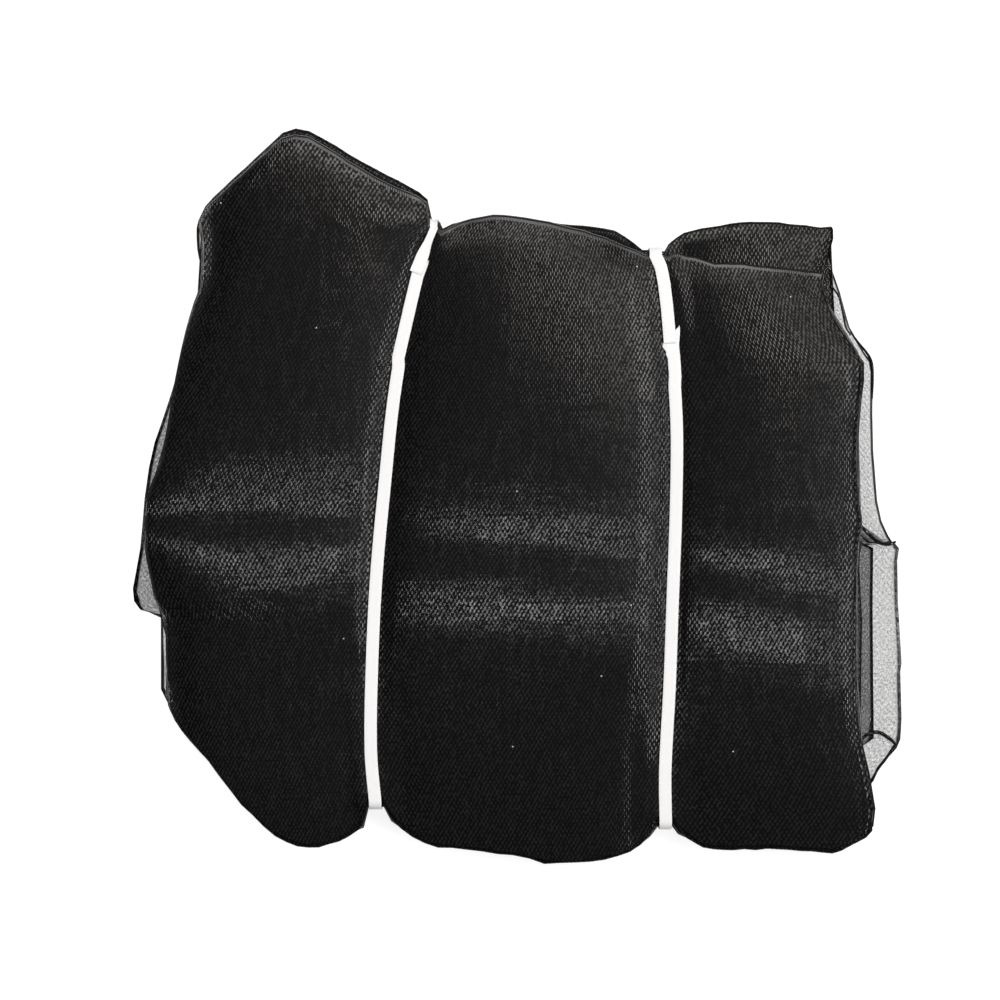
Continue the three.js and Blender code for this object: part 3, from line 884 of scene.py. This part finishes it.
meshLook = {
    "loopWidth": 3.4,  # mm across two wales
    "loopLength": 5.76,  # mm along two courses
    "legShare": 0.62,  # a loop's heavier leg, as a share of both
    "sway": 1.4,  # mm that wales and courses stray
    "thread": "#1f1d1f",
    # painted shade of the plies beneath, seen between the loops
    "holeShade": "#050505",
    "lint": "#d8d6d0",
    "lintPace": 5.5,  # specks per metre
    "lintSize": [0.002, 0.0045],  # as shares of the space for each
    "loopUnevenness": 3.2,
    "patchiness": 1.6,  # how far whole patches of loops lie more open or more closed
    "loopSpan": [-0.2, 0.7],  # from open to closed
    "sheerSpan": [-0.5, 0.5],  # the same where the cloth is see-through
    "sheerCover": [0.38, 0.54],  # least and most of the light that one open ply stops
    "sheerStreaks": 1.3,  # how far that varies from one bunch of wales to the next
    "selvedgeBand": [1.5, 2.3],  # mm from the edge
    "foldMark": [0.1, 0.3],  # closed is 0.5 at folds, and 1 on the glossy rims
    "rimMark": [0.7, 1],
    "gloss": [0.1, 0.2],
    "glossSpan": [0.3, 0.7],
    "ridgeHeight": 0.045,  # mm, the round of each wale
    "heights": {"groups": 0.21, "jitter": 0.025, "wrinkles": 0.14, "folds": 0.4},  # mm
    # noises: how many to the metre across and along the cloth, detail and distortion
    "noises": {
        "waver": [40, 40, 2, 0],  # the sway, 25 mm
        "uneven": [420, 420, 1, 0],  # loop by loop, 2.4 mm
        "patches": [190, 75, 3, 0],  # 5 x 13 mm
        "groups": [105, 30, 2, 0],  # groups of wales, 10 x 33 mm
        "jitter": [260, 260, 0, 0],  # one loop against the next, 4 mm
        "wrinkles": [26, 26, 3, 0],  # 38 mm
        "folds": [6, 42, 3, 0.4],  # long faint creases across the cloth
        "streaks": [1150, 560, 4, 0],  # bunched wales of a single ply, 1 x 2 mm
    },
}


def knittedMeshMaterial():
    # black knitted polyethylene mesh: rounded glossy wales, so it glints in a diamond
    # pattern where a lamp is mirrored, goes nearly flat black elsewhere, and is see-through
    # where one or two plies stand alone. Between the loops the shaded plies beneath are
    # painted shade, a dull near-black
    look = meshLook
    material = bpy.data.materials.new("knitted polyethylene mesh")
    node = startNodes(material)
    uv = node("UVMap", uv_map="flat")
    split = node("SeparateXYZ", {"Vector": uv})
    sheer, selvedge, closed = [
        node("Attribute", attribute_name=name).outputs["Fac"] for name in ("sheer", "selvedge", "closed")
    ]
    noise = {}
    for name, (acrossPace, alongPace, detail, distortion) in look["noises"].items():
        paced = node("Mapping", {"Vector": uv, "Scale": (acrossPace, alongPace, 1.0)})
        noise[name] = node("TexNoise", {
            "Vector": paced, "Scale": 1.0, "Detail": detail, "Distortion": distortion,
        }).outputs["Fac"]
    sway = node("Math", {0: noise["waver"], 1: look["sway"] * mm}, operation="MULTIPLY")

    def turned(way, period):
        # how many radians of its period a point has passed
        moved = node("Math", {0: split.outputs[way], 1: sway}, operation="ADD")
        return node("Math", {0: moved, 1: 2 * math.pi / (period * mm)}, operation="MULTIPLY")

    wale = turned("X", look["loopWidth"])
    course = turned("Y", look["loopLength"])
    # a loop's two legs are waves along the two diagonals, and one leg shows more than the other
    lattice = 0.0
    for operation, share in (("ADD", look["legShare"]), ("SUBTRACT", 1 - look["legShare"])):
        leg = node("Math", {0: wale, 1: course}, operation=operation)
        wave = node("Math", {0: leg}, operation="COSINE")
        lattice = node("Math", {0: wave, 1: share, 2: lattice}, operation="MULTIPLY_ADD")
    # no two loops cover quite the same
    worn = lattice
    for name, share in (("uneven", look["loopUnevenness"]), ("patches", look["patchiness"])):
        worn = node("Math", {0: noise[name], 1: share, 2: worn}, operation="MULTIPLY_ADD")
    middle = (look["loopUnevenness"] + look["patchiness"]) / 2
    loops, sheerLoops = [
        node("MapRange", {"Value": worn, 1: middle + low, 2: middle + high})
        for low, high in (look["loopSpan"], look["sheerSpan"])
    ]
    bandFrom, bandTo = look["selvedgeBand"]
    band = node("MapRange", {"Value": selvedge, 1: bandFrom * mm, 2: bandTo * mm, 3: 1.0, 4: 0.0})
    folds, rims = [
        node("MapRange", {"Value": closed, 1: low, 2: high})
        for low, high in (look["foldMark"], look["rimMark"])
    ]
    edging = node("Math", {0: folds, 1: band}, operation="MAXIMUM")
    rim = node("Math", {0: rims, 1: band}, operation="MAXIMUM")
    thread = node("Math", {0: loops, 1: rim}, operation="MAXIMUM")

    # sparse pale lint caught in the loops
    spots = node("TexVoronoi", {"Vector": uv, "Scale": look["lintPace"]}, voronoi_dimensions="2D")
    lintFrom, lintTo = look["lintSize"]
    lint = node("MapRange", {"Value": spots, 1: lintFrom, 2: lintTo, 3: 1.0, 4: 0.0})
    threadTint, lintTint = linearColour(look["thread"]), linearColour(look["lint"])
    colour = node("Mix", {0: lint, 6: threadTint, 7: lintTint}, data_type="RGBA")

    # groups of wales differ in gloss and lie a little unevenly
    (low, high), (glossy, dull) = look["glossSpan"], look["gloss"]
    gloss = node("MapRange", {"Value": noise["groups"], 1: low, 2: high, 3: glossy, 4: dull})
    ridge = node("Math", {0: turned("X", look["loopWidth"] / 2)}, operation="COSINE")
    height = node("Math", {0: ridge, 1: look["ridgeHeight"] * mm}, operation="MULTIPLY")
    for name, rise in look["heights"].items():
        height = node("Math", {0: noise[name], 1: rise * mm, 2: height}, operation="MULTIPLY_ADD")
    bump = node("Bump", {"Height": height, "Strength": 1.0, "Distance": 1.0})
    shader = node("BsdfPrincipled", {
        "Base Color": colour.outputs[2],
        "Roughness": gloss,
        "IOR": 1.5,
        "Normal": bump,
    })
    # painted shade: between the loops only the plies beneath show, and their shade is painted as a dull
    # black with little gloss
    shadedGap = node("BsdfPrincipled", {
        "Base Color": linearColour(look["holeShade"]),
        "Roughness": 0.4,
        "IOR": 1.2,
    })
    lit = node("Math", {0: thread, 1: lint}, operation="MAXIMUM")
    knitted = node("MixShader", {0: lit, 1: shadedGap, 2: shader})
    # a single ply covers more or less by loop, and by streak, but wholly at its folded edges
    leastCover, mostCover = look["sheerCover"]
    opening = node("MapRange", {"Value": sheerLoops, 3: leastCover, 4: mostCover})
    streaks = look["sheerStreaks"]
    opening = node("Math", {0: noise["streaks"], 1: streaks, 2: opening}, operation="MULTIPLY_ADD")
    opening = node("Math", {0: opening, 1: -streaks / 2}, operation="ADD")
    banded = node("Math", {0: opening, 1: edging}, operation="MAXIMUM")
    solid = node("Math", {0: 1.0, 1: sheer}, operation="SUBTRACT")
    cover = node("Math", {0: banded, 1: solid}, operation="MAXIMUM", use_clamp=True)
    mixed = node("MixShader", {0: cover, 1: node("BsdfTransparent"), 2: knitted})
    node("OutputMaterial", {"Surface": mixed})
    return material


strapFinish = {
    "colour": "#f8f8f9",
    "roughness": 0.38,
    "gripPace": 900.0,  # pressed squares per metre, 1.1 mm each
    "gripStrength": 0.1,
    "gripDepth": 0.0001,  # metres
}


def strappingMaterial():
    # white polypropylene strapping: satin, so evenly white, with a fine pressed diamond grip
    material = bpy.data.materials.new("white polypropylene strapping")
    node = startNodes(material)
    uv = node("UVMap", uv_map="flat")
    grip = node("Mapping", {"Vector": uv, "Rotation": (0, 0, math.radians(45))})
    pressed = node("TexChecker", {"Vector": grip, "Scale": strapFinish["gripPace"]})
    bump = node("Bump", {
        "Height": pressed.outputs["Fac"],
        "Strength": strapFinish["gripStrength"],
        "Distance": strapFinish["gripDepth"],
    })
    shader = node("BsdfPrincipled", {
        "Base Color": linearColour(strapFinish["colour"]),
        "Roughness": strapFinish["roughness"],
        "IOR": 1.49,
        "Normal": bump,
    })
    node("OutputMaterial", {"Surface": shader})
    return material


studio = {
    "floorHalf": 3.2,  # metres
    "floorColour": "#b8b8b8",
    "floorGlow": 0.8,
    "worldLight": 0.05,
    "lens": 85.0,
    "cameraPlace": (-0.014, -0.004, 1.912),  # it looks straight down
}


def floorMaterial():
    # matt white paper, a little brighter to the camera so that it clears to white
    material = bpy.data.materials.new("matt white paper")
    node = startNodes(material)
    paper = node("BsdfDiffuse", {"Color": linearColour(studio["floorColour"])})
    sight = node("LightPath").outputs
    seen = sight["Is Camera Ray"]
    for other in ("Is Glossy Ray", "Is Transmission Ray"):
        seen = node("Math", {0: seen, 1: sight[other]}, operation="MAXIMUM")
    strength = node("Math", {0: seen, 1: studio["floorGlow"]}, operation="MULTIPLY")
    glow = node("Emission", {"Color": (1, 1, 1, 1), "Strength": strength})
    both = node("AddShader", {0: paper, 1: glow})
    node("OutputMaterial", {"Surface": both})
    return material


def addCamera():
    data = bpy.data.cameras.new("camera")
    data.lens = studio["lens"]
    camera = bpy.data.objects.new("camera", data)
    camera.location = studio["cameraPlace"]
    bpy.context.scene.collection.objects.link(camera)
    bpy.context.scene.camera = camera


# each lamp: shape, place, aim, size, watts, whether it is mirrored in gloss, and tint
lights = {
    "rightSheen": ["ELLIPSE", (2.5, -0.1, 1.9), (0, 0, 0), (3.2, 0.35), 32.0, True, "#ffffff"],
    "rightHigh": ["ELLIPSE", (1.9, 0.5, 2.2), (0, 0, 0), (1.6, 0.5), 3.5, True, "#ffffff"],
    "leftFill": ["RECTANGLE", (-1.5, 0.3, 0.8), (0, 0, 0), (1.2, 1.2), 10.0, False, "#ffffff"],
    "farCard": ["ELLIPSE", (0.2, 1.8, 2.9), (0.1, 0.1, 0), (3.8, 1.0), 15.0, True, "#fffaf3"],
    "topCard": ["ELLIPSE", (0.45, 1.2, 2.9), (0.1, 0.1, 0), (2.4, 0.7), 6.5, True, "#fffaf3"],
    "topRightCard": ["ELLIPSE", (1.35, 0.88, 2.9), (0.2, 0.1, 0), (1.2, 1.0), 16.5, True, "#fffaf3"],
    "rimCard": ["RECTANGLE", (0.0, 2.1, 2.4), (0, 0.2, 0), (3.2, 0.8), 30.0, True, "#fffcf8"],
    "overheadStrip": ["RECTANGLE", (0.0, -0.28, 3.0), (0, -0.28, 0), (4.2, 0.1), 16.0, True, "#fafbff"],
    "frontFill": ["RECTANGLE", (-0.3, -2.7, 1.2), (0, 0, 0), (1.8, 1.2), 10.0, False, "#ffffff"],
}


def addLights():
    for name, (shape, place, aim, size, power, mirrored, tint) in lights.items():
        data = bpy.data.lights.new(name, "AREA")
        data.shape = shape
        data.size, data.size_y = size
        data.energy = power
        data.color = linearColour(tint)[:3]
        light = bpy.data.objects.new(name, data)
        light.location = place
        light.rotation_euler = (Vector(aim) - Vector(place)).to_track_quat("-Z", "Y").to_euler()
        light.visible_camera = False
        light.visible_glossy = mirrored
        bpy.context.scene.collection.objects.link(light)
    world = bpy.context.scene.world = bpy.data.worlds.new("studio")
    node = startNodes(world)
    sight = node("LightPath").outputs["Is Camera Ray"]
    strength = node("MapRange", {"Value": sight, 3: studio["worldLight"], 4: 1.0})
    sky = node("Background", {"Color": (1, 1, 1, 1), "Strength": strength})
    node("OutputWorld", {"Surface": sky})


def addFloor():
    corners = np.array([[-1, -1, 0], [1, -1, 0], [1, 1, 0], [-1, 1, 0]]) * studio["floorHalf"]
    floor = makePiece("floor", corners, np.array([[0, 1, 2, 3]]), floorMaterial())


planOffset = np.array([-0.09, -0.77, 0.0])  # millimetres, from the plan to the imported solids

addCamera()
net = buildNet(knittedMeshMaterial(), planOffset)
print("net made")
strapLook = strappingMaterial()
for name in tiePlan:
    strap, loop = buildStrap(name, strapLook, planOffset)
print("straps made")
addFloor()
addLights()
bpy.context.scene.view_settings.view_transform = "Standard"

print("scene ready")
